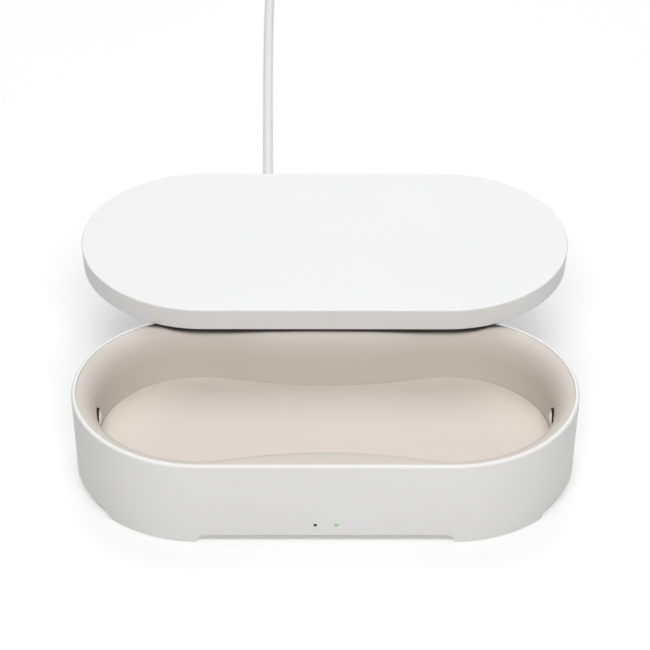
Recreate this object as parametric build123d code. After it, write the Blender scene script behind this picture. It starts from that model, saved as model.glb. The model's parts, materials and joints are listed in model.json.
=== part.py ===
from build123d import *
import math
import os

# UV sanitizer box for phones: a stadium-shaped base with a soft-edged chamber and a
# wireless charging floor, a flat lift-off lid, and a USB-C power cord at the rear.
# Millimetres. +X along the length, +Y to the rear, +Z up. The box itself is drawn about
# its own centre, then the whole row is moved so that its origin is the bottom centre of
# box and lid together.

# ------------------------------------------------------------------ outer form
box_length = 228.0         # at the rim and at the lid's top
box_depth = 116.0          # at the rim and at the lid's top; the ends are half rounds
shell_height = 42.6        # skirt edge to rim
shell_draft = 2.0          # how far the skirt stands in from the rim, per side
rim_width = 1.9            # rim round the chamber, its outer edge rounded
skirt_wall = 1.6           # wall of the shell at its lower edge
rim_round = 1.1
foot_stand = 0.6           # skirt edge above the table

relief_height = 4.3        # cut-outs in the skirt between its four feet
relief_corner = 4.2        # quarter round where a cut-out meets a foot
side_relief_length = 114.6
end_relief_depth = 78.0

# ------------------------------------------------------------------ chamber
liner_wall = 2.0
liner_clearance = 0.1      # liner to shell
liner_step = 0.25          # liner's top below the rim
shoulder_margin = 0.15     # flat between the liner's edge and its rounded shoulder
shoulder_width = 9.2       # the shoulder is a quarter ellipse, wider inward than a fillet
shoulder_drop = 14.0
wall_draft = 0.4           # chamber wall, shoulder to floor
waist_bulge = 6.7          # the long walls swell inward by this at mid length
floor_height = 16.2        # charging pad's top above the skirt edge
pad_thickness = 1.6
pad_clearance = 0.05

# ------------------------------------------------------------------ UV windows, one in each end wall
window_height = 26.7       # above the skirt edge
window_bore = 9.0
gasket_wall = 0.9
gasket_face = 0.8          # gasket stands into the chamber
gasket_round = 0.25        # its edge there
lens_crown = 1.2           # domed part, in front of the gasket
lens_gap = 0.25            # lens to UV chip
window_fit = 0.05          # gasket in bore, lens in gasket
window_block = (22.0, 11.0)    # width and height of the mount behind each window
window_block_depth = 5.2       # chamber face to the UV board
window_block_root = 0.35       # mount starts this far inside the liner wall
window_block_round = 2.0
uv_board_size = (21.6, 10.6)
uv_board_thickness = 1.0
uv_board_round = 1.5
uv_chip = 3.5
uv_chip_height = 1.2
uv_screw_pitch = 17.0
uv_screw = 1.6
uv_screw_head = 3.0
uv_screw_head_height = 1.0
uv_screw_length = 3.6

# ------------------------------------------------------------------ base plate and feet
plate_recess = 0.1         # plate above the skirt edge
plate_clearance = 0.15
plate_thickness = 2.4
plate_lip = 1.5
plate_lip_cover = 2.0      # lip reaches this far above the skirt cut-outs
foot_x = 78.0
foot_y = 34.0
foot_diameter = 14.0
foot_sink = 0.8
foot_fit = 0.15
foot_round = 0.3

case_screw = 2.2
case_screw_head = 4.4
case_screw_head_height = 1.4
case_screw_length = 8.5
screw_fit = 0.05
head_fit = 0.2
plate_boss = 8.4
plate_boss_height = 1.5
liner_post = 6.8

# ------------------------------------------------------------------ boards
board_top = 8.4            # above the skirt edge
board_thickness = 1.6
main_board_size = (112.0, 40.0)
status_board_size = (30.0, 13.0)
status_board_gap = 1.2     # status board to the shell's front wall
standoff = 5.0
board_screw = 1.9
board_screw_head = 3.6
board_screw_head_height = 1.2
board_screw_length = 5.0
board_hole_inset = 4.0
board_round = 2.0

# Chips on the main board: width, depth and height, then the middle's place from the board's
# nearer end and from its front edge.
controller_chip = (9.0, 9.0, 1.2, 18.0, 16.0)
charger_chip = (6.0, 6.0, 1.0, 20.0, 18.0)
left_choke = (7.0, 7.0, 1.8, 32.0, 10.0)
right_choke = (7.0, 7.0, 1.8, 34.0, 8.0)
lamp_connector = (10.0, 4.0, 2.0, 12.0, 6.0)
coil_connector = (10.0, 4.0, 2.0, 14.0, 6.0)

status_spacing = 9.3       # between the two status lights
status_height = 9.35       # above the skirt edge
status_dark_diameter = 1.6
status_green_diameter = 1.9
status_collar = 1.2        # collar of each light guide behind the wall, beyond its radius
status_collar_thickness = 1.0
status_fit = 0.05
led_size = (3.0, 2.2, 1.9)

# ------------------------------------------------------------------ charging coil
coil_outer = 46.0
coil_inner = 20.0
coil_thickness = 1.2
ferrite_diameter = 50.0
ferrite_thickness = 0.8

# ------------------------------------------------------------------ magnets and lid sensor
magnet_diameter = 5.0
magnet_thickness = 2.5
magnet_x = 14.0
magnet_inset = 5.8         # magnet centre in from the rim's outer edge
magnet_cup_wall = 0.6
magnet_fit = 0.1
sensor_board_size = (9.0, 5.0)
sensor_board_thickness = 0.8
sensor_chip = (3.0, 2.0, 1.0)

# ------------------------------------------------------------------ rear inlet and button
inlet_x = -24.7
inlet_width = 8.94
inlet_height = 3.2
inlet_skin = 0.28
inlet_depth = 7.3
inlet_recess = 0.3         # inlet's mouth behind the shell's inner wall
inlet_back = 1.0           # wall at the inlet's closed end
inlet_hole_fit = 0.35
tongue_width = 6.4
tongue_thickness = 0.6
tongue_depth = 5.2

button_x = 24.7
button_diameter = 7.0
button_travel = 0.5
button_proud = 0.7
button_fit = 0.2
button_flange = 1.2
button_flange_thickness = 1.0
button_stem = 3.0
button_stem_length = 1.2
button_dish = 0.35
button_seat = 0.1          # flange to the shell's inner wall at rest
button_clearance = 0.3     # pressed button's flange to the main board's edge
switch_size = (6.2, 3.6, 6.0)
plunger_diameter = 2.4
plunger_length = 1.4       # outside the switch, at rest
plunger_root = 0.8         # inside the switch, at rest
plunger_fit = 0.1

# ------------------------------------------------------------------ lid
lid_thickness = 11.3
lid_draft = 0.95
lid_gap = 0.3              # lid above the rim
lid_setback = 103.3        # how far the lid lies slid to the rear
lid_wall = 2.2
lid_top = 2.2
lid_edge_round = 0.7
lid_lower_round = 0.4
panel_margin = 0.8         # lid edge outside the underside panel
panel_thickness = 2.0
panel_clearance = 0.15
lid_rib = 1.2
lid_rib_pitch = 38.0
lid_cross_ribs = 5
sensor_magnet_diameter = 4.0

# ------------------------------------------------------------------ cord
cord_diameter = 4.8
plug_tip = (8.25, 2.4, 6.6)
plug_slot = (6.9, 1.0)
plug_slot_back = 1.0       # wall at the plug sleeve's closed end
plug_grip = (12.0, 6.4, 20.0)
plug_grip_round = 1.2      # at the grip's rear edge
plug_grip_flat = 0.2       # half the flat left on the grip's narrow sides
plug_gap = 0.4             # plug grip to the shell's wall
relief_length = 9.0
relief_ring = 0.9          # strain relief's grooves: width, then depth into the cord's line
relief_ring_depth = 0.225
relief_rings = 3
coil_turn_radius = 28.0    # at the middle of the turns
coil_pitch = 4.85          # between turns, sideways and upward
coil_wide = 3              # turns side by side
coil_high = 2              # turns on top of each other
coil_round = 1.9           # rounded edges of the coil's outer shape
end_plug_grip = (16.0, 8.0, 24.0)
end_plug_tip = (12.0, 4.5, 12.5)
end_plug_skin = 0.4
end_plug_tongue = (11.0, 1.9)
end_plug_round = 1.5

# The cord's route in the row's frame: out of the plug, down to the table, straight back,
# then a coil and a short tail to the far plug.
cord_route = [
    (-24.7, 34.22, 10.6), (-24.7, 62.0, 10.6), (-24.9, 104.0, 4.6), (-24.7, 150.0, 2.5),
    (-24.5, 362.0, 2.5), (-25.6, 401.0, 2.5),
]
tail_route = [(13.0, 444.85, 7.2), (34.0, 445.4, 4.7), (57.0, 446.6, 2.8), (80.0, 446.6, 4.0)]
cord_coil_centre = (7.25, 412.0)

# ------------------------------------------------------------------ places worked out from the sizes
skirt_z = foot_stand
rim_z = skirt_z + shell_height
liner_z = rim_z - liner_step
end_x = (box_length - box_depth) / 2
rim_inner = rim_width
skirt_inner = shell_draft + skirt_wall
liner_edge = rim_inner + liner_clearance
shoulder_start = liner_edge + shoulder_margin
wall_top_inset = shoulder_start + shoulder_width
wall_top_z = liner_z - shoulder_drop
pad_z = skirt_z + floor_height
pocket_z = pad_z - pad_thickness
liner_bottom_z = pocket_z - liner_wall
floor_inset = wall_top_inset + wall_draft
plate_z = skirt_z + plate_recess
plate_top_z = plate_z + plate_thickness
boss_top_z = plate_top_z + plate_boss_height
foot_pocket_z = plate_z + foot_sink
screw_seat_z = foot_pocket_z + case_screw_head_height
board_z = skirt_z + board_top
board_bottom_z = board_z - board_thickness
lid_z = rim_z + lid_gap
window_z = skirt_z + window_height
status_z = skirt_z + status_height
inlet_z = board_z + inlet_height / 2
button_z = board_z + switch_size[2] / 2
magnet_z = liner_z - liner_wall - magnet_thickness
feet = [(sx * foot_x, sy * foot_y) for sx in (-1, 1) for sy in (-1, 1)]


def outer_inset(z):
    """Inset of the shell's outer skin at height z."""
    return shell_draft * (rim_z - z) / shell_height


def inner_inset(z):
    """Inset of the shell's inner skin at height z."""
    return rim_inner + (skirt_inner - rim_inner) * (rim_z - z) / shell_height


def wall_inset(z):
    """Inset of the chamber wall at height z, on its straight part and on its shoulder."""
    if z <= wall_top_z:
        return wall_top_inset + wall_draft * (wall_top_z - z) / (wall_top_z - pocket_z)
    rise = (z - wall_top_z) / shoulder_drop
    return shoulder_start + shoulder_width * math.sqrt(1 - rise ** 2)


def slot(inset, z):
    """Stadium outline inside the box's outline by inset."""
    return Pos(0, 0, z) * SlotOverall(box_length - 2 * inset, box_depth - 2 * inset)


def tapered(inset_low, inset_high, z_low, z_high):
    """Stadium block whose size changes evenly with height."""
    return loft([slot(inset_low, z_low), slot(inset_high, z_high)], ruled=True)


def waist_arc(inset):
    """Radius, centre distance and half angle of the arc that swells a long wall inward."""
    end_radius = box_depth / 2 - inset
    radius = (end_x ** 2 - 2 * end_radius * waist_bulge + waist_bulge ** 2) / (2 * waist_bulge)
    centre = radius + end_radius - waist_bulge
    return radius, centre, math.degrees(math.atan2(end_x, centre))


def chamber_outline(inset, z):
    """Stadium with both long sides swelling inward: four arcs, tangent where they meet."""
    end_radius = box_depth / 2 - inset
    radius, centre, half_angle = waist_arc(inset)
    end_half = 90 + half_angle
    arcs = [
        CenterArc((end_x, 0), end_radius, -end_half, 2 * end_half),
        CenterArc((0, centre), radius, 270 - half_angle, 2 * half_angle),
        CenterArc((-end_x, 0), end_radius, 180 - end_half, 2 * end_half),
        CenterArc((0, -centre), radius, 90 - half_angle, 2 * half_angle),
    ]
    return Pos(0, 0, z) * make_face(Wire(arcs))


def chamber_block(inset, z_low, z_high):
    return extrude(chamber_outline(inset, z_low), z_high - z_low, dir=(0, 0, 1))


def chamber_ring(profile):
    """Turn a wall profile, drawn as distance from an end centre and height, round the chamber."""
    radius, centre, half_angle = waist_arc(0)
    toward_joint = Vector(-end_x, centre, 0).normalized()
    joint = Plane(
        origin=(end_x, 0, 0), x_dir=toward_joint, z_dir=toward_joint.cross(Vector(0, 0, 1))
    )
    placed = joint * profile
    end = revolve(placed, Axis((end_x, 0, 0), (0, 0, 1)), -2 * (90 + half_angle))
    waist = revolve(placed, Axis((0, centre, 0), (0, 0, 1)), -2 * half_angle)
    return end + waist + mirror(end, about=Plane.YZ) + mirror(waist, about=Plane.XZ)


def rod(diameter, length):
    return extrude(Circle(diameter / 2), length)


def tube(outer, inner, length):
    return extrude(Circle(outer / 2) - Circle(inner / 2), length)


def plate(width, depth, height):
    return extrude(Rectangle(width, depth), height)


def facing_y(side, x, y, z, shape):
    """Shape drawn up +Z from the ground plane, laid to point to the rear or the front."""
    return Pos(x, y, z) * Rot(-90 * side, 0, 0) * shape


def facing_x(side, x, y, z, shape):
    """Shape drawn up +Z, its width along Y, laid to point outward along X."""
    return Pos(side * x, y, z) * Rot(0, side * 90, 0) * Rot(0, 0, 90) * shape


def screw(shaft, head, head_height, length):
    """Pan-head screw pointing up +Z, its head's bearing face at the ground plane."""
    body = rod(shaft, length) + Pos(0, 0, -head_height) * rod(head, head_height)
    socket = Pos(0, 0, -head_height) * extrude(RegularPolygon(head / 4, 6), head_height / 2)
    rim = body.edges().group_by(Axis.Z)[0]
    return fillet(rim, head_height / 4) - socket


def export(node, place, *pieces):
    """Write one sub-part at its place in the row, identical pieces as separate solids."""
    placed = [place * piece for piece in pieces]
    shape = placed[0] if len(placed) == 1 else Compound(children=[one.solid() for one in placed])
    export_step(shape, f"parts/{node}.step")


# ------------------------------------------------------------------ base shell
def base_shell():
    body = tapered(shell_draft, 0, skirt_z, rim_z)
    body = fillet(body.edges().group_by(Axis.Z)[-1], rim_round)
    body -= tapered(skirt_inner, rim_inner, skirt_z, rim_z)
    body -= skirt_cut(side_relief_length, box_depth)
    body -= Rot(0, 0, 90) * skirt_cut(end_relief_depth, box_length)
    for x, diameter in status_lights():
        body -= facing_y(-1, x, 0, status_z, rod(diameter + 2 * status_fit, box_depth))
    body -= facing_y(1, inlet_x, 0, inlet_z, inlet_block(inlet_hole_fit, box_depth))
    body -= facing_y(1, button_x, 0, button_z, rod(button_diameter + 2 * button_fit, box_depth))
    return body


def skirt_cut(length, reach):
    """Cut-out through both skirt walls, its upper corners rounded."""
    height = relief_height + foot_stand
    outline = Pos(0, height / 2 + relief_height - height) * Rectangle(length, height)
    outline = fillet(outline.vertices().group_by(Axis.Y)[-1], relief_corner)
    return extrude(Pos(0, 0, skirt_z) * Plane.XZ * outline, reach, both=True)


def status_lights():
    """Place and diameter of the two lights at the front: dark one left, green one right."""
    half = status_spacing / 2
    return [(-half, status_dark_diameter), (half, status_green_diameter)]


def inlet_block(grow, length):
    """USB-C outline, grown on all sides, drawn up +Z."""
    width, height = inlet_width + 2 * grow, inlet_height + 2 * grow
    return extrude(SlotOverall(width, height), length)


def status_light(x, diameter):
    """Light guide: a pin through the front wall with a collar behind it."""
    face = box_depth / 2 - outer_inset(status_z)
    collar_radius = diameter / 2 + status_collar
    seat = box_depth / 2 - inner_inset(status_z - collar_radius) - status_fit
    pin = rod(diameter, face - seat + status_collar_thickness)
    pin = fillet(pin.edges().group_by(Axis.Z)[-1], diameter / 5)
    back = seat - status_collar_thickness
    return facing_y(-1, x, -back, status_z, pin + rod(2 * collar_radius, status_collar_thickness))


# ------------------------------------------------------------------ chamber liner and floor
def liner_profile():
    """Section of the liner's wall: rounded shoulder, straight wall, foot of the wall."""
    centre = box_depth / 2 - shoulder_start
    foot = box_depth / 2 - floor_inset
    top = box_depth / 2 - wall_top_inset
    inner = EllipticalCenterArc(
        (centre, wall_top_z), shoulder_width, shoulder_drop, start_angle=90, arc_size=90
    )
    outer = EllipticalCenterArc(
        (centre, wall_top_z), shoulder_width - liner_wall, shoulder_drop - liner_wall,
        start_angle=90, arc_size=90,
    )
    wall = Polyline(
        (top, wall_top_z), (foot, pocket_z), (foot, liner_bottom_z),
        (foot + liner_wall, liner_bottom_z), (top + liner_wall, wall_top_z),
    )
    edge = Polyline(
        (centre, liner_z - liner_wall), (centre + shoulder_margin / 2, liner_z - liner_wall),
        (centre + shoulder_margin / 2, liner_z), (centre, liner_z),
    )
    return make_face([inner, wall, outer, edge])


def chamber_liner():
    flange_z = liner_z - liner_wall
    flange = tapered(inner_inset(flange_z) + liner_clearance, liner_edge, flange_z, liner_z)
    flange -= chamber_block(shoulder_start - shoulder_margin / 4, flange_z, liner_z)
    floor = chamber_block(floor_inset - liner_wall / 2, liner_bottom_z, pocket_z)
    body = chamber_ring(liner_profile()) + flange + floor
    post_height = liner_bottom_z - boss_top_z
    for x, y in feet:
        body += Pos(x, y, boss_top_z) * rod(liner_post, post_height + liner_wall / 2)
        body -= Pos(x, y, boss_top_z) * rod(case_screw + 2 * screw_fit, screw_reach())
    for side in (-1, 1):
        body += facing_x(side, window_face() + window_block_root, 0, window_z, window_mount())
    for side in (-1, 1):
        bore = rod(window_bore, box_length)
        body -= facing_x(side, window_face() - window_bore, 0, window_z, bore)
        for pilot in uv_screw_places():
            hole = rod(uv_screw + 2 * screw_fit, uv_screw_length - uv_board_thickness + screw_fit)
            body -= facing_x(-side, -board_seat(), pilot, window_z, hole)
    for x, y in magnet_places():
        body += Pos(x, y, magnet_z) * magnet_cup()
    return body


def window_face():
    """Chamber face of the end wall at the middle of its window, from the centre."""
    return box_length / 2 - wall_inset(window_z)


def board_seat():
    """Outer face of the window mount, where the UV board lies."""
    return window_face() + window_block_depth


def window_mount():
    width, height = window_block
    outline = RectangleRounded(width, height, window_block_round)
    return extrude(outline, window_block_depth - window_block_root)


def uv_screw_places():
    return [-uv_screw_pitch / 2, uv_screw_pitch / 2]


def screw_reach():
    return case_screw_length - (boss_top_z - screw_seat_z) + head_fit


def magnet_cup():
    """Ring under the liner's rim that holds a magnet, rooted in the rim."""
    bore = magnet_diameter + 2 * magnet_fit
    ring = tube(bore + 2 * magnet_cup_wall, bore, magnet_thickness + liner_wall / 2)
    return ring - Pos(0, 0, magnet_thickness) * rod(bore, liner_wall)


def magnet_places():
    y = box_depth / 2 - magnet_inset
    return [(sx * magnet_x, sy * y) for sx in (-1, 1) for sy in (-1, 1)]


def charging_pad():
    return chamber_block(floor_inset + pad_clearance, pocket_z, pad_z)


# ------------------------------------------------------------------ UV windows
def uv_gasket(side):
    length = window_block_depth + gasket_face
    ring = tube(window_bore - 2 * window_fit, window_bore - 2 * gasket_wall, length)
    ring = fillet(ring.edges().group_by(Axis.Z)[0], gasket_round)
    return facing_x(side, window_face() - gasket_face, 0, window_z, ring)


def uv_lens(side):
    """Domed window, drawn outward from the chamber: crown first, then a straight barrel."""
    radius = window_bore / 2 - gasket_wall - window_fit
    barrel = gasket_face + window_block_depth - uv_chip_height - lens_gap
    sphere = (radius ** 2 + lens_crown ** 2) / (2 * lens_crown)
    crown = Pos(0, 0, sphere - lens_crown) * Sphere(sphere)
    crown &= Pos(0, 0, -lens_crown) * rod(2 * radius, lens_crown)
    return facing_x(side, window_face() - gasket_face, 0, window_z, crown + rod(2 * radius, barrel))


def uv_board(side):
    width, height = uv_board_size
    board = extrude(RectangleRounded(width, height, uv_board_round), uv_board_thickness)
    for y in uv_screw_places():
        board -= Pos(y, 0, 0) * rod(uv_screw + 4 * screw_fit, uv_board_thickness)
    return facing_x(side, board_seat(), 0, window_z, board)


def uv_chip_block(side):
    chip = Pos(0, 0, -uv_chip_height) * plate(uv_chip, uv_chip, uv_chip_height)
    return facing_x(side, board_seat(), 0, window_z, chip)


def uv_screws():
    one = screw(uv_screw, uv_screw_head, uv_screw_head_height, uv_screw_length)
    seat = board_seat() + uv_board_thickness
    return [
        facing_x(-side, -seat, y, window_z, one) for side in (-1, 1) for y in uv_screw_places()
    ]


# ------------------------------------------------------------------ base plate, feet, case screws
def base_plate():
    lip_top = skirt_z + relief_height + plate_lip_cover
    low, high = inner_inset(plate_z) + plate_clearance, inner_inset(lip_top) + plate_clearance
    boards = main_board_holes() + status_board_holes()
    pilot_depth = board_screw_length - board_thickness + screw_fit
    body = tapered(low, high, plate_z, lip_top)
    body -= tapered(low + plate_lip, high + plate_lip, plate_top_z, lip_top)
    body += [Pos(x, y, plate_z) * rod(plate_boss, boss_top_z - plate_z) for x, y in feet]
    body += [Pos(x, y, plate_z) * rod(standoff, board_bottom_z - plate_z) for x, y in boards]
    pilot = rod(board_screw + 2 * screw_fit, pilot_depth)
    cuts = [Pos(x, y, board_bottom_z - pilot_depth) * pilot for x, y in boards]
    for x, y in feet:
        cuts.append(Pos(x, y, plate_z) * foot_pocket())
    return body - cuts


def foot_pocket():
    """Stepped hole for a foot, the screw head under it and the screw's shaft."""
    seat = screw_seat_z - plate_z
    pocket = rod(foot_diameter + 2 * foot_fit, foot_sink)
    pocket += rod(case_screw_head + 2 * head_fit, seat)
    return pocket + rod(case_screw + 4 * screw_fit, boss_top_z)


def foot(x, y):
    pad = rod(foot_diameter, foot_sink + plate_recess + foot_stand)
    return Pos(x, y, 0) * fillet(pad.edges().group_by(Axis.Z)[0], foot_round)


def case_screws():
    one = screw(case_screw, case_screw_head, case_screw_head_height, case_screw_length)
    return [Pos(x, y, screw_seat_z) * one for x, y in feet]


# ------------------------------------------------------------------ boards and what is on them
def main_board_middle():
    """Middle of the main board, whose rear edge clears the pressed button."""
    edge = button_flange_y() - button_flange_thickness - button_travel - button_clearance
    return edge - main_board_size[1] / 2


def status_board_edge():
    """Front edge of the status board, just behind the front wall."""
    return -(box_depth / 2 - inner_inset(board_bottom_z) - status_board_gap)


def status_board_middle():
    return status_board_edge() + status_board_size[1] / 2


def main_board_holes():
    width, depth = main_board_size
    x, y = width / 2 - board_hole_inset, depth / 2 - board_hole_inset
    return [(sx * x, main_board_middle() + sy * y) for sx in (-1, 1) for sy in (-1, 1)]


def status_board_holes():
    width, depth = status_board_size
    x, y = width / 2 - board_hole_inset, depth / 2 - board_hole_inset
    return [(sx * x, status_board_middle() + y) for sx in (-1, 1)]


def board(size, middle, holes):
    width, depth = size
    body = extrude(RectangleRounded(width, depth, board_round), board_thickness)
    body = Pos(0, middle, board_bottom_z) * body
    for x, y in holes:
        body -= Pos(x, y, board_bottom_z) * rod(board_screw + 4 * screw_fit, board_thickness)
    return body


def board_screws():
    one = Rot(180, 0, 0) * screw(
        board_screw, board_screw_head, board_screw_head_height, board_screw_length
    )
    return [Pos(x, y, board_z) * one for x, y in main_board_holes() + status_board_holes()]


def board_chips():
    """Controller, charging driver, two chokes and two connectors, on the main board."""
    left = [controller_chip, left_choke, lamp_connector]
    right = [charger_chip, right_choke, coil_connector]
    return [board_chip(-1, *chip) for chip in left] + [board_chip(1, *chip) for chip in right]


def board_chip(side, width, depth, height, from_end, from_front):
    x = side * (main_board_size[0] / 2 - from_end)
    y = main_board_middle() - main_board_size[1] / 2 + from_front
    return Pos(x, y, board_z) * plate(width, depth, height)


def status_leds():
    width, depth, height = led_size
    y = status_board_edge() + depth / 2
    z = status_z - height / 2
    return [Pos(x, y, z) * plate(width, depth, height) for x, diameter in status_lights()]


def usb_c_socket():
    """Inlet's metal shell with its tongue, mouth to the rear."""
    mouth = box_depth / 2 - inner_inset(inlet_z) - inlet_recess
    shell = inlet_block(0, inlet_depth)
    shell -= Pos(0, 0, inlet_back) * inlet_block(-inlet_skin, inlet_depth)
    tongue = plate(tongue_width, tongue_thickness, tongue_depth + inlet_back)
    return facing_y(1, inlet_x, mouth - inlet_depth, inlet_z, shell + tongue)


# ------------------------------------------------------------------ charging coil, lid sensor
def charging_coil():
    ring = tube(coil_outer, coil_inner, coil_thickness)
    return Pos(0, 0, liner_bottom_z - coil_thickness) * ring


def ferrite_sheet():
    sheet = rod(ferrite_diameter, ferrite_thickness)
    return Pos(0, 0, liner_bottom_z - coil_thickness - ferrite_thickness) * sheet


def lid_sensor():
    """Small board under the liner's rear rim, its chip hanging below it."""
    y = box_depth / 2 - magnet_inset
    z = liner_z - liner_wall - sensor_board_thickness
    chip = Pos(0, 0, -sensor_chip[2]) * plate(*sensor_chip)
    return Pos(0, y, z) * (plate(*sensor_board_size, sensor_board_thickness) + chip)


def magnets():
    return [Pos(x, y, magnet_z) * rod(magnet_diameter, magnet_thickness) for x, y in magnet_places()]


# ------------------------------------------------------------------ rear button and its switch
def button_flange_y():
    """Outer face of the button's flange, against the rear wall."""
    low = button_z - button_diameter / 2 - button_flange
    return box_depth / 2 - inner_inset(low) - button_seat


def power_button():
    """Cap through the rear wall, flange behind it, stem to the switch, dished face."""
    face = box_depth / 2 - outer_inset(button_z) + button_proud
    back = button_flange_y() - button_flange_thickness
    cap = rod(button_diameter, face - back)
    cap = fillet(cap.edges().group_by(Axis.Z)[-1], button_fit)
    cap += rod(button_diameter + 2 * button_flange, button_flange_thickness)
    cap += Pos(0, 0, -button_stem_length) * rod(button_stem, button_stem_length)
    radius = button_diameter / 2 - 2 * button_fit
    sphere = (radius ** 2 + button_dish ** 2) / (2 * button_dish)
    cap -= Pos(0, 0, face - back + sphere - button_dish) * Sphere(sphere)
    return facing_y(1, button_x, back, button_z, cap)


def plunger_tip():
    """Where the button's stem meets the switch's plunger."""
    return button_flange_y() - button_flange_thickness - button_stem_length


def switch_plunger():
    length = plunger_length + plunger_root
    return facing_y(1, button_x, plunger_tip() - length, button_z, rod(plunger_diameter, length))


def tact_switch():
    width, depth, height = switch_size
    front = plunger_tip() - plunger_length
    body = Pos(button_x, front - depth / 2, button_z - height / 2) * plate(width, depth, height)
    bore_depth = plunger_root + button_travel + plunger_fit
    bore = rod(plunger_diameter + 2 * plunger_fit, bore_depth)
    return body - facing_y(1, button_x, front - bore_depth, button_z, bore)


# ------------------------------------------------------------------ lid
def lid_cover():
    top = lid_z + lid_thickness
    body = tapered(lid_draft, 0, lid_z, top)
    body = fillet(body.edges().group_by(Axis.Z)[-1], lid_edge_round)
    body = fillet(body.edges().group_by(Axis.Z)[0], lid_lower_round)
    inside = tapered(lid_draft + lid_wall, lid_wall, lid_z + panel_thickness, top - lid_top)
    first = -lid_rib_pitch * (lid_cross_ribs - 1) / 2
    ribs = [Pos(first + k * lid_rib_pitch, 0, 0) * lid_rib_blade() for k in range(lid_cross_ribs)]
    ribs.append(Rot(0, 0, 90) * lid_rib_blade())
    body -= inside
    body -= slot_block(lid_draft + panel_margin, lid_z, lid_z + panel_thickness)
    for rib in ribs:
        body += rib & inside
    return body


def lid_rib_blade():
    """Stiffening rib under the lid's top, clear of the panel and its magnets."""
    height = (lid_thickness - panel_thickness - lid_top) / 2
    blade = plate(lid_rib, box_length, height)
    return Pos(0, 0, lid_z + lid_thickness - lid_top - height) * blade


def slot_block(inset, z_low, z_high):
    return extrude(slot(inset, z_low), z_high - z_low)


def lid_panel():
    inset = lid_draft + panel_margin + panel_clearance
    return slot_block(inset, lid_z, lid_z + panel_thickness)


def lid_magnets():
    z = lid_z + panel_thickness
    return [Pos(x, y, z) * rod(magnet_diameter, magnet_thickness) for x, y in magnet_places()]


def sensor_magnet():
    place = Pos(0, box_depth / 2 - magnet_inset, lid_z + panel_thickness)
    return place * rod(sensor_magnet_diameter, magnet_thickness)


# ------------------------------------------------------------------ cord
def corner_radii(points):
    """Arc radius at each inner point: as large as the shorter of its two runs allows."""
    radii = []
    for before, here, after in zip(points, points[1:], points[2:]):
        arriving, leaving = Vector(here) - Vector(before), Vector(after) - Vector(here)
        run = 0.45 * min(arriving.length, leaving.length)
        radii.append(run / math.tan(math.radians(arriving.get_angle(leaving)) / 2))
    return radii


def cord(name, points):
    """Round cord along straight runs joined by tangent arcs."""
    radii = corner_radii(points)
    path = FilletPolyline(*points, radius=radii)
    section = Plane(origin=path @ 0, z_dir=path % 0) * Circle(cord_diameter / 2)
    body = sweep(section, path)
    share = body.volume / (math.pi * (cord_diameter / 2) ** 2 * path.length)
    print(name, "length", round(path.length, 1), "radii", [round(r) for r in radii],
          "volume share", round(share, 4))
    return body


def cord_coil():
    """Outer shape of the coiled cord: a flat ring with rounded edges."""
    half_width = ((coil_wide - 1) * coil_pitch + cord_diameter) / 2
    height = (coil_high - 1) * coil_pitch + cord_diameter
    ring = tube(2 * (coil_turn_radius + half_width), 2 * (coil_turn_radius - half_width), height)
    ring = fillet(ring.edges(), coil_round)
    return Pos(*cord_coil_centre, cord_route[-1][2] - cord_diameter / 2) * ring


def plug_back():
    """Rear face of the plug's grip, from the box's centre."""
    return box_depth / 2 - outer_inset(inlet_z) + plug_gap + plug_grip[2]


def usb_c_grip():
    """Moulded grip and its ringed strain relief, which narrows to the cord."""
    width, height, length = plug_grip
    grip = extrude(RectangleRounded(width, height, height / 2 - plug_grip_flat), length)
    grip = fillet(grip.edges().group_by(Axis.Z)[-1], plug_grip_round)
    taper = loft([
        Circle(height / 2 - plug_grip_round),
        Pos(0, 0, relief_length) * Circle(cord_diameter / 2),
    ])
    for ring in range(relief_rings):
        place = Pos(0, 0, relief_length * (ring + 1) / (relief_rings + 1))
        taper -= place * tube(height, cord_diameter - 2 * relief_ring_depth, relief_ring)
    body = grip + Pos(0, 0, length) * taper
    return facing_y(1, inlet_x, plug_back() - length, inlet_z, body)


def usb_c_tip():
    """Metal tongue sleeve of the plug, open for the inlet's tongue."""
    width, height, length = plug_tip
    slot_width, slot_height = plug_slot
    tip = extrude(SlotOverall(width, height), length)
    tip -= extrude(SlotOverall(slot_width, slot_height), length - plug_slot_back)
    return facing_y(1, inlet_x, plug_back() - plug_grip[2] - length, inlet_z, tip)


def end_plug_place():
    return Pos(*tail_route[-1]) * Rot(0, 90, 0) * Rot(0, 0, 90)


def end_grip():
    width, height, length = end_plug_grip
    grip = extrude(RectangleRounded(width, height, end_plug_round), length)
    grip = fillet(grip.edges().group_by(Axis.Z)[0], end_plug_round)
    return end_plug_place() * grip


def end_tip():
    """USB-A plug shell with its tongue."""
    width, height, length = end_plug_tip
    tip = plate(width, height, length)
    hollow = plate(width - 2 * end_plug_skin, height - 2 * end_plug_skin, length)
    tongue_offset = (height / 2 - end_plug_skin - end_plug_tongue[1] / 2)
    tip -= Pos(0, 0, end_plug_skin) * hollow
    tip += Pos(0, tongue_offset, 0) * plate(*end_plug_tongue, length - 2 * end_plug_skin)
    return end_plug_place() * Pos(0, 0, end_plug_grip[2]) * tip


# ------------------------------------------------------------------ the whole row
os.makedirs("parts", exist_ok=True)

box = Pos(0, -lid_setback / 2, 0)
lid = Pos(0, lid_setback / 2, 0)
cord_frame = Pos(0, 0, 0)   # the cord's own points are already in the row's frame

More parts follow.
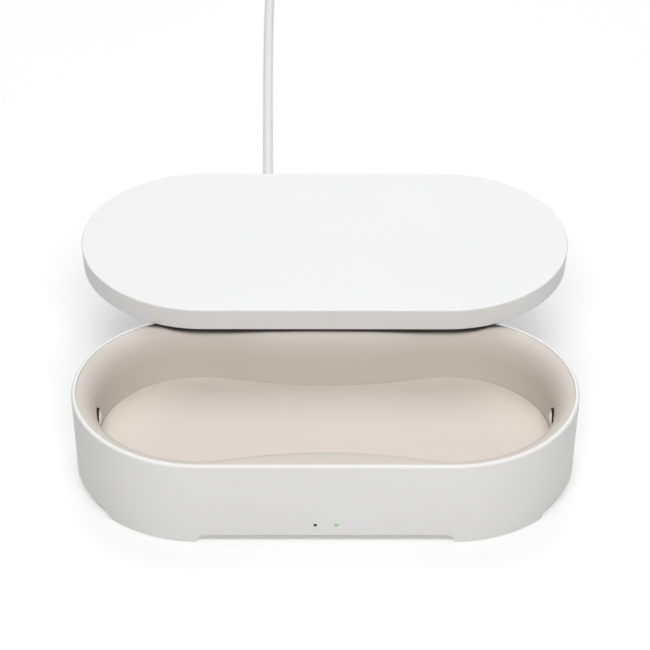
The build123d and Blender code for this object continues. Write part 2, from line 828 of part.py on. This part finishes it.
export("base_shell", box, base_shell())
export("chamber_liner", box, chamber_liner())
export("charging_pad", box, charging_pad())
export("base_plate", box, base_plate())
export("rubber_feet", box, *[foot(x, y) for x, y in feet])
export("case_screws", box, *case_screws())
export("main_board", box, board(main_board_size, main_board_middle(), main_board_holes()))
export("status_board", box, board(status_board_size, status_board_middle(), status_board_holes()))
export("board_screws", box, *board_screws())
export("board_chips", box, *board_chips())
export("status_leds", box, *status_leds())
export("usb_c_socket", box, usb_c_socket())
export("charging_coil", box, charging_coil())
export("ferrite_sheet", box, ferrite_sheet())
export("lid_sensor", box, lid_sensor())
export("base_magnets", box, *magnets())
export("uv_screws", box, *uv_screws())

for side, name in ((-1, "left"), (1, "right")):
    export(f"uv_lens_{name}", box, uv_lens(side))
    export(f"uv_gasket_{name}", box, uv_gasket(side))
    export(f"uv_board_{name}", box, uv_board(side))
    export(f"uv_chip_{name}", box, uv_chip_block(side))

for (x, diameter), name in zip(status_lights(), ("dark", "green")):
    export(f"status_light_{name}", box, status_light(x, diameter))

export("power_button", box, power_button())
export("switch_plunger", box, switch_plunger())
export("tact_switch", box, tact_switch())

export("lid_cover", lid, lid_cover())
export("lid_panel", lid, lid_panel())
export("lid_magnets", lid, *lid_magnets())
export("sensor_magnet", lid, sensor_magnet())

export("usb_c_grip", box, usb_c_grip())
export("usb_c_tip", box, usb_c_tip())
export("power_cable", cord_frame, cord("power_cable", cord_route))
export("cable_tail", cord_frame, cord("cable_tail", tail_route))
export("cable_coil", cord_frame, cord_coil())
export("end_plug_grip", cord_frame, end_grip())
export("end_plug_tip", cord_frame, end_tip())
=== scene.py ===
import json
import math

import bpy
from mathutils import Matrix, Vector


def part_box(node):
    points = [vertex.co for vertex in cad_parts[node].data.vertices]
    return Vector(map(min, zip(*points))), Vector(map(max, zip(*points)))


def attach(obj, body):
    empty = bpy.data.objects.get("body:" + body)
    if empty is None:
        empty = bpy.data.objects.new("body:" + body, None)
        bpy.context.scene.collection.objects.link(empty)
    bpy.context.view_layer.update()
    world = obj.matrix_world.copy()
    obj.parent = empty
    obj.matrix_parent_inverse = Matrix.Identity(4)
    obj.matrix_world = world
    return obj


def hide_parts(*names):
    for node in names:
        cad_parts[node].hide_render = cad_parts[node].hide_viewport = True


# Looks for the UV sanitizer box: camera, cord, materials, floor and lights.
# Everything is in metres but the cord's route, which is in millimetres, as the part has it.

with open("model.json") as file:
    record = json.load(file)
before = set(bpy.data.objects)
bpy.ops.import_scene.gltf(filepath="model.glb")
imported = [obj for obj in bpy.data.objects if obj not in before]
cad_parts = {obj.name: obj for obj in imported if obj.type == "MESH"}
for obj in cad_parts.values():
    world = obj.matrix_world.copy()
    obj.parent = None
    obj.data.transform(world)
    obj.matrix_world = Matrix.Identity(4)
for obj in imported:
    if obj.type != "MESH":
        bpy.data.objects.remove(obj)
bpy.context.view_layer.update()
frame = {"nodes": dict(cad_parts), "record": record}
nodes = frame["nodes"]
scene = bpy.context.scene
MM = 0.001


# ------------------------------------------------------------------ camera
def add_camera():
    """Long lens, 35 degrees down, almost straight in front."""
    place = Vector((-0.00950, -1.43069, 1.04040))
    target = Vector((-0.00004, -0.00109, 0.04301))
    roll = math.radians(0.275)
    data = bpy.data.cameras.new("camera")
    data.sensor_fit = "HORIZONTAL"
    data.sensor_width = 36.0
    data.lens = 210.33
    camera = bpy.data.objects.new("camera", data)
    scene.collection.objects.link(camera)
    look = (target - place).to_track_quat("-Z", "Y").to_matrix().to_4x4()
    camera.matrix_world = Matrix.Translation(place) @ look @ Matrix.Rotation(roll, 4, "Z")
    scene.camera = camera


add_camera()

# ------------------------------------------------------------------ cord
cord_diameter = 4.8
coil_centre = (7.25, 412.0)
coil_turn_radius = 28.0         # of the middle turns
coil_pitch = 4.85               # from one turn to the next, beside it or on top of it
coil_steps = 24                 # points in one turn
coil_turns = 5.25
coil_floor_gap = 0.1
inward_at = (0.75, 1.75)        # turns at which the cord moves in by a pitch
climb_at = 2.6                  # and climbs onto those turns
outward_at = (3.35, 4.35)       # and moves out again
shift_length = 0.25             # turns that a move takes
climb_length = 0.3

# The route's points: the part's own, with the long run up to 5 mm further left, where the
# photograph shows it.
cord_route = [
    (-24.7, 34.22, 10.6), (-24.7, 62.0, 10.6), (-27.1, 104.0, 4.6), (-27.7, 150.0, 2.5),
    (-29.4, 362.0, 2.5), (-26.6, 401.0, 2.5),
]
tail_route = [(13.0, 444.85, 7.2), (34.0, 445.4, 4.7), (57.0, 446.6, 2.8), (80.0, 446.6, 4.0)]


def ease(start, length, value):
    """0 before start, 1 after start + length, smooth between."""
    t = min(max((value - start) / length, 0.0), 1.0)
    return t * t * (3 - 2 * t)


def coil_points():
    """Turns wound inward on the surface, a climb, and turns wound outward on top of them."""
    points = []
    # The spline runs just inside its points, so they lie a little outside the turn's radius.
    stretch = 2 / (1 + math.cos(2 * math.pi / coil_steps) ** 0.5)
    for step in range(int(coil_turns * coil_steps) + 1):
        turn = step / coil_steps
        inward = sum(ease(start, shift_length, turn) for start in inward_at)
        outward = sum(ease(start, shift_length, turn) for start in outward_at)
        radius = coil_turn_radius + coil_pitch * (1 - inward + outward)
        climb = coil_pitch * ease(climb_at, climb_length, turn)
        height = cord_diameter / 2 + coil_floor_gap + climb
        angle = math.pi - 2 * math.pi * turn
        points.append((
            coil_centre[0] + stretch * radius * math.cos(angle),
            coil_centre[1] + stretch * radius * math.sin(angle),
            height,
        ))
    return points


def add_cord():
    """The whole cord as one smooth tube, in place of its three CAD solids."""
    points = cord_route + coil_points() + tail_route
    data = bpy.data.curves.new("cord", "CURVE")
    data.dimensions = "3D"
    data.resolution_u = 6
    data.bevel_depth = 1.0     # times each point's radius
    data.bevel_resolution = 6
    data.use_fill_caps = True
    spline = data.splines.new("NURBS")
    spline.points.add(len(points) - 1)
    for point, (x, y, z) in zip(spline.points, points):
        point.co = (x * MM, y * MM, z * MM, 1.0)
        point.radius = cord_diameter / 2 * MM
    spline.order_u = 3
    spline.use_endpoint_u = True
    cord = bpy.data.objects.new("cord", data)
    scene.collection.objects.link(cord)
    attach(cord, "base")
    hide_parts("power_cable", "cable_tail", "cable_coil")
    return cord


cord = add_cord()


# ------------------------------------------------------------------ materials
noise_low, noise_high = 0.3, 0.7       # the range that most of a noise's values fall in
# Painted shade: a colour is darkened in slits where other pieces close in.
slit_closed, slit_open = 0.62, 0.80    # share of open surroundings, in the slit and outside it
painted_shade_left = 0.05                      # of the colour that is left in the slit, where shade is painted


class Shader:
    """A node material built around one Principled shader."""

    def __init__(self, name):
        self.material = bpy.data.materials.new(name)
        self.material.use_nodes = True
        self.tree = self.material.node_tree
        self.tree.nodes.clear()
        self.out = self.add("ShaderNodeOutputMaterial")
        self.main = self.add("ShaderNodeBsdfPrincipled")
        self.link(self.main, "BSDF", self.out, "Surface")
        self.place = self.add("ShaderNodeTexCoord")

    def add(self, kind, **values):
        """New node, with its own settings."""
        node = self.tree.nodes.new(kind)
        for key, value in values.items():
            setattr(node, key, value)
        return node

    def link(self, a, out, b, into):
        """Join node a's output to node b's input, by their names or numbers."""
        self.tree.links.new(a.outputs[out], b.inputs[into])

    def noise(self, scale, detail=2.0, roughness=0.5):
        """Noise in the object's own metres: scale counts its lumps in a metre."""
        node = self.add("ShaderNodeTexNoise")
        node.inputs["Scale"].default_value = scale
        node.inputs["Detail"].default_value = detail
        node.inputs["Roughness"].default_value = roughness
        self.link(self.place, "Object", node, "Vector")
        return node

    def map_range(self, source, out, start, end, low, high, **values):
        """Map a value's start..end to low..high."""
        node = self.add("ShaderNodeMapRange", **values)
        node.inputs["From Min"].default_value = start
        node.inputs["From Max"].default_value = end
        node.inputs["To Min"].default_value = low
        node.inputs["To Max"].default_value = high
        self.link(source, out, node, "Value")
        return node

    def spread(self, source, out, low, high):
        """Map a noise's middle range to low..high."""
        return self.map_range(source, out, noise_low, noise_high, low, high)

    def tint(self, source, out, dark, light):
        """Colour between dark and light, by a noise."""
        ramp = self.add("ShaderNodeValToRGB")
        ramp.color_ramp.elements[0].position = noise_low
        ramp.color_ramp.elements[0].color = (*dark, 1)
        ramp.color_ramp.elements[1].position = noise_high
        ramp.color_ramp.elements[1].color = (*light, 1)
        self.link(source, out, ramp, "Fac")
        return ramp

    def bump(self, source, out, strength, distance, under=None):
        """Relief of a height, distance deep, on top of another relief if there is one."""
        node = self.add("ShaderNodeBump")
        node.inputs["Strength"].default_value = strength
        node.inputs["Distance"].default_value = distance
        self.link(source, out, node, "Height")
        if under:
            self.link(under, "Normal", node, "Normal")
        return node

    def paint_slit_shade(self, colour, reach, low, high):
        """Paint shade into a colour in a slit: darken it where other pieces close in within
        reach.

        It fades in between the heights low and high.
        """
        near = self.add("ShaderNodeAmbientOcclusion", samples=16)
        near.inputs["Distance"].default_value = reach
        open_share = self.map_range(
            near, "AO", slit_closed, slit_open, painted_shade_left, 1.0, interpolation_type="SMOOTHSTEP"
        )
        split = self.add("ShaderNodeSeparateXYZ")
        self.link(self.place, "Object", split, "Vector")
        above = self.map_range(split, "Z", low, high, 0.0, 1.0)
        shade = self.add("ShaderNodeMix", data_type="RGBA", blend_type="MULTIPLY")
        self.link(above, "Result", shade, "Factor")
        self.link(colour, "Color", shade, "A")
        self.link(open_share, "Result", shade, "B")
        return shade

    def vary_roughness(self, noise, low, high):
        """Roughness between low and high, by a noise."""
        self.link(self.spread(noise, "Fac", low, high), "Result", self.main, "Roughness")

    def put(self, **sockets):
        """Set the shader's own sockets; a word's underscores stand for spaces."""
        for key, value in sockets.items():
            self.main.inputs[key.replace("_", " ")].default_value = value


def plastic(name, colour, roughness, grain_strength=0.2, gloss=0.5, painted_shade=None):
    """Moulded plastic: faint flow in the colour, fine spark-eroded grain, slow waviness."""
    s = Shader(name)
    flow = s.noise(9.0, 3.0)
    dark = [c * 0.985 for c in colour]
    light = [min(c * 1.01, 1.0) for c in colour]
    tint = s.tint(flow, "Fac", dark, light)
    # Given a slit, painted shade darkens the colour there.
    if painted_shade:
        s.link(s.paint_slit_shade(tint, *painted_shade), "Result", s.main, "Base Color")
    else:
        s.link(tint, "Color", s.main, "Base Color")
    s.vary_roughness(s.noise(60.0, 4.0), roughness - 0.03, roughness + 0.04)
    wave = s.bump(s.noise(22.0, 1.0), "Fac", 0.06, 0.0006)
    fine = s.bump(s.noise(2600.0, 2.0, 0.6), "Fac", grain_strength, 0.00002, wave)
    s.link(fine, "Normal", s.main, "Normal")
    s.put(IOR=1.49, Specular_IOR_Level=gloss)
    return s.material


def rubber(name, colour, roughness=0.7, gloss=0.5):
    """Rubber: dull, with faint dust in its colour and a fine tooth."""
    s = Shader(name)
    dust = s.noise(140.0, 5.0, 0.65)
    dark = [c * 0.9 for c in colour]
    light = [min(c * 1.08 + 0.004, 1.0) for c in colour]
    s.link(s.tint(dust, "Fac", dark, light), "Color", s.main, "Base Color")
    s.vary_roughness(dust, roughness - 0.06, roughness + 0.08)
    s.link(s.bump(s.noise(1800.0, 3.0), "Fac", 0.3, 0.00003), "Normal", s.main, "Normal")
    s.put(IOR=1.5, Specular_IOR_Level=gloss)
    return s.material


def metal(name, colour, roughness):
    """Plated metal with fine level lines drawn round it."""
    s = Shader(name)
    stretch = s.add("ShaderNodeMapping")
    stretch.inputs["Scale"].default_value = (1.0, 1.0, 30.0)
    s.link(s.place, "Object", stretch, "Vector")
    lines = s.noise(400.0, 4.0, 0.6)
    s.link(stretch, "Vector", lines, "Vector")
    dark = [c * 0.88 for c in colour]
    s.link(s.tint(lines, "Fac", dark, colour), "Color", s.main, "Base Color")
    s.vary_roughness(lines, roughness - 0.06, roughness + 0.08)
    s.link(s.bump(lines, "Fac", 0.15, 0.00002), "Normal", s.main, "Normal")
    s.put(Metallic=1.0)
    return s.material


def board_mask():
    """Solder mask with faint tracks under it."""
    s = Shader("board_mask")
    track = s.add("ShaderNodeTexBrick")
    track.inputs["Scale"].default_value = 260.0
    track.inputs["Mortar Size"].default_value = 0.03
    track.inputs["Color1"].default_value = (0.010, 0.085, 0.040, 1)
    track.inputs["Color2"].default_value = (0.014, 0.110, 0.052, 1)
    track.inputs["Mortar"].default_value = (0.030, 0.160, 0.080, 1)
    s.link(s.place, "Object", track, "Vector")
    s.link(track, "Color", s.main, "Base Color")
    s.vary_roughness(s.noise(300.0), 0.25, 0.4)
    s.link(s.bump(track, "Fac", 0.2, 0.00005), "Normal", s.main, "Normal")
    return s.material


def copper_winding():
    """Flat spiral coil: fine rings about the coil's middle."""
    s = Shader("copper_winding")
    shift = s.add("ShaderNodeMapping")
    low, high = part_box("charging_coil")
    middle = (low + high) / 2
    shift.inputs["Location"].default_value = (-middle[0], -middle[1], -middle[2])
    s.link(s.place, "Object", shift, "Vector")
    rings = s.add("ShaderNodeTexWave", wave_type="RINGS", rings_direction="Z")
    rings.inputs["Scale"].default_value = 320.0
    rings.inputs["Distortion"].default_value = 0.4
    s.link(shift, "Vector", rings, "Vector")
    copper = s.tint(rings, "Fac", (0.20, 0.06, 0.025), (0.62, 0.25, 0.12))
    s.link(copper, "Color", s.main, "Base Color")
    s.link(s.bump(rings, "Fac", 0.5, 0.00015), "Normal", s.main, "Normal")
    s.vary_roughness(s.noise(500.0), 0.25, 0.4)
    s.put(Metallic=0.9)
    return s.material


def window_dome():
    """Milky quartz dome of a UV lamp."""
    s = Shader("window_dome")
    haze = s.noise(700.0, 3.0)
    milk = s.tint(haze, "Fac", (0.84, 0.84, 0.83), (0.92, 0.92, 0.91))
    s.link(milk, "Color", s.main, "Base Color")
    s.vary_roughness(haze, 0.10, 0.22)
    s.link(s.bump(s.noise(1200.0), "Fac", 0.05, 0.00002), "Normal", s.main, "Normal")
    s.put(IOR=1.46, Transmission_Weight=0.12, Coat_Weight=0.5, Coat_Roughness=0.06)
    return s.material


def light_guide(name, dark, light, glow=None, strength=0.0):
    """Small moulded light guide, brighter in patches, lit or dark."""
    s = Shader(name)
    grain = s.noise(900.0, 2.0)
    s.link(s.tint(grain, "Fac", dark, light), "Color", s.main, "Base Color")
    s.vary_roughness(grain, 0.2, 0.32)
    s.link(s.bump(grain, "Fac", 0.08, 0.00002), "Normal", s.main, "Normal")
    if glow:
        patches = s.tint(grain, "Fac", [g * 0.9 for g in glow], glow)
        s.link(patches, "Color", s.main, "Emission Color")
        s.put(Emission_Strength=strength)
    return s.material


def dark_part(name, colour, roughness):
    """Moulded epoxy or ferrite: near black with a fine tooth."""
    s = Shader(name)
    tooth = s.noise(2200.0, 4.0, 0.6)
    light = [c * 1.4 for c in colour]
    s.link(s.tint(tooth, "Fac", colour, light), "Color", s.main, "Base Color")
    s.vary_roughness(tooth, roughness - 0.05, roughness + 0.1)
    s.link(s.bump(tooth, "Fac", 0.25, 0.00003), "Normal", s.main, "Normal")
    return s.material


shell_white = plastic("shell_white", (0.842, 0.838, 0.830), roughness=0.5, gloss=0.3)
lid_white = plastic("lid_white", (0.868, 0.868, 0.870), roughness=0.55, gloss=0.25)
liner_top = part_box("chamber_liner")[1].z
# The liner's colour gets painted shade in the slit under the lid: in its top 10 mm, fading out
# by 16 mm below the top.
painted_shade_reach = 0.008
slit_low, slit_high = liner_top - 0.016, liner_top - 0.010
liner_cream = plastic(
    "liner_cream", (0.618, 0.572, 0.521), roughness=0.6, grain_strength=0.3,
    painted_shade=(painted_shade_reach, slit_low, slit_high),
)
pad_cream = plastic("pad_cream", (0.645, 0.594, 0.540), roughness=0.65, grain_strength=0.4)
plate_white = plastic("plate_white", (0.80, 0.80, 0.79), roughness=0.5)
button_white = plastic("button_white", (0.84, 0.84, 0.83), roughness=0.38)
cord_white = plastic("cord_white", (0.82, 0.82, 0.82), roughness=0.5)
plug_white = plastic("plug_white", (0.82, 0.82, 0.81), roughness=0.42)
foot_rubber = rubber("foot_rubber", (0.58, 0.58, 0.57))
gasket_black = rubber("gasket_black", (0.006, 0.006, 0.006), roughness=0.75, gloss=0.15)
panel_black = plastic("panel_black", (0.012, 0.012, 0.013), roughness=0.5)
steel = metal("steel", (0.40, 0.40, 0.41), roughness=0.34)
magnet_plate = metal("magnet_plate", (0.60, 0.60, 0.61), roughness=0.2)
board_metal = metal("board_metal", (0.62, 0.63, 0.64), roughness=0.35)
chip_black = dark_part("chip_black", (0.012, 0.012, 0.014), 0.5)
ferrite_grey = dark_part("ferrite_grey", (0.030, 0.030, 0.033), 0.65)
lamp_body = plastic("lamp_body", (0.78, 0.75, 0.52), roughness=0.35)
light_dark = light_guide("light_dark", (0.008, 0.008, 0.008), (0.016, 0.016, 0.016))
light_green = light_guide(
    "light_green", (0.20, 0.44, 0.16), (0.26, 0.52, 0.20), glow=(0.20, 0.50, 0.15), strength=0.45
)

by_slot = {
    "shell_white": shell_white, "liner_cream": liner_cream, "pad_cream": pad_cream,
    "plate_white": plate_white, "foot_rubber": foot_rubber, "screw_steel": steel,
    "board_green": board_mask(), "chip_black": chip_black, "led_body": lamp_body,
    "inlet_steel": steel, "coil_copper": copper_winding(), "ferrite_grey": ferrite_grey,
    "magnet_nickel": magnet_plate, "lens_glass": window_dome(), "gasket_black": gasket_black,
    "panel_black": panel_black, "board_metal": board_metal, "light_dark": light_dark,
    "light_green": light_green, "button_white": button_white, "lid_white": lid_white,
    "cord_plug_white": plug_white, "cord_white": cord_white,
}
slot_of = {s["node"]: s["material_slot"] for s in frame["record"]["subparts"]}
for name, node in nodes.items():
    node.material_slots[0].material = by_slot[slot_of[name]]
cord.data.materials.append(cord_white)


# ------------------------------------------------------------------ floor
floor_reach = 4.0               # from the middle to each edge
floor_white = 1.41              # brightness mixed into what is seen of the floor near by
floor_white_share = 0.35        # its share; the rest is the lit floor, with the shadow
floor_near, floor_far = 0.75, 1.5    # distances from the middle between which it turns white


def seen_rays(tree):
    """Socket that is 1 for what the camera, a reflection or a clear part sees."""
    rays = tree.nodes.new("ShaderNodeLightPath")
    seen = rays.outputs["Is Camera Ray"]
    for kind in ("Is Glossy Ray", "Is Transmission Ray"):
        either = tree.nodes.new("ShaderNodeMath")
        either.operation = "MAXIMUM"
        tree.links.new(seen, either.inputs[0])
        tree.links.new(rays.outputs[kind], either.inputs[1])
        seen = either.outputs["Value"]
    return seen


def add_floor():
    """Pale plain floor. What is seen of it is lifted to white, all of it far from the object."""
    r = floor_reach
    mesh = bpy.data.meshes.new("floor")
    mesh.from_pydata([(-r, -r, 0), (r, -r, 0), (r, r, 0), (-r, r, 0)], [], [(0, 1, 2, 3)])
    floor = bpy.data.objects.new("floor", mesh)
    scene.collection.objects.link(floor)
    s = Shader("floor")
    tint = s.tint(s.noise(3.0), "Fac", (0.80, 0.80, 0.80), (0.81, 0.81, 0.81))
    s.link(tint, "Color", s.main, "Base Color")
    s.put(Roughness=0.9, Specular_IOR_Level=0.1)
    distance = s.add("ShaderNodeVectorMath", operation="LENGTH")
    s.link(s.place, "Object", distance, "Vector")

    def by_distance(at_near, at_far):
        return s.map_range(
            distance, "Value", floor_near, floor_far, at_near, at_far,
            interpolation_type="SMOOTHSTEP",
        )

    share = s.add("ShaderNodeMath", operation="MULTIPLY")
    s.tree.links.new(seen_rays(s.tree), share.inputs[0])
    s.link(by_distance(floor_white_share, 1.0), "Result", share, 1)
    white = s.add("ShaderNodeEmission")
    s.link(by_distance(floor_white, 1.0), "Result", white, "Strength")
    blend = s.add("ShaderNodeMixShader")
    s.link(share, "Value", blend, "Fac")
    s.link(s.main, "BSDF", blend, 1)
    s.link(white, "Emission", blend, 2)
    s.link(blend, "Shader", s.out, "Surface")
    mesh.materials.append(s.material)


add_floor()


# ------------------------------------------------------------------ light
world_strength = 0.05
lit_point = (0, 0, 0.03)
# Each soft lamp's name, place, sides and power in watts.
lamps = (
    ("behind", (0, 0.9, 1.7), (1.2, 1.2), 18.0),
    ("front", (0, -1.5, 1.5), (1.4, 1.0), 13.2),
    ("front_high", (0, -1.1, 1.9), (1.4, 1.0), 21.5),
    ("front_right", (1.3, -1.3, 1.5), (1.0, 1.0), 1.2),
    ("right", (1.8, -0.2, 1.1), (1.0, 1.0), 1.0),
)


def add_lamp(name, place, sides, power):
    """Soft rectangular lamp that faces the object."""
    data = bpy.data.lights.new(name, "AREA")
    data.shape = "RECTANGLE"
    data.size, data.size_y = sides
    data.energy = power
    lamp = bpy.data.objects.new(name, data)
    scene.collection.objects.link(lamp)
    lamp.location = place
    aim = Vector(lit_point) - Vector(place)
    lamp.rotation_euler = aim.to_track_quat("-Z", "Y").to_euler()


def add_world(strength):
    """Even fill light, which is seen as plain white."""
    world = bpy.data.worlds.new("studio")
    scene.world = world
    world.use_nodes = True
    tree = world.node_tree
    tree.nodes.clear()
    out = tree.nodes.new("ShaderNodeOutputWorld")
    fill = tree.nodes.new("ShaderNodeBackground")
    fill.inputs["Strength"].default_value = strength
    seen = tree.nodes.new("ShaderNodeBackground")
    seen.inputs["Strength"].default_value = 1.0
    mix = tree.nodes.new("ShaderNodeMixShader")
    for node in (fill, seen):
        node.inputs["Color"].default_value = (1, 1, 1, 1)
    tree.links.new(seen_rays(tree), mix.inputs["Fac"])
    tree.links.new(fill.outputs["Background"], mix.inputs[1])
    tree.links.new(seen.outputs["Background"], mix.inputs[2])
    tree.links.new(mix.outputs["Shader"], out.inputs["Surface"])


add_world(world_strength)
for lamp in lamps:
    add_lamp(*lamp)

scene.view_settings.view_transform = "Standard"
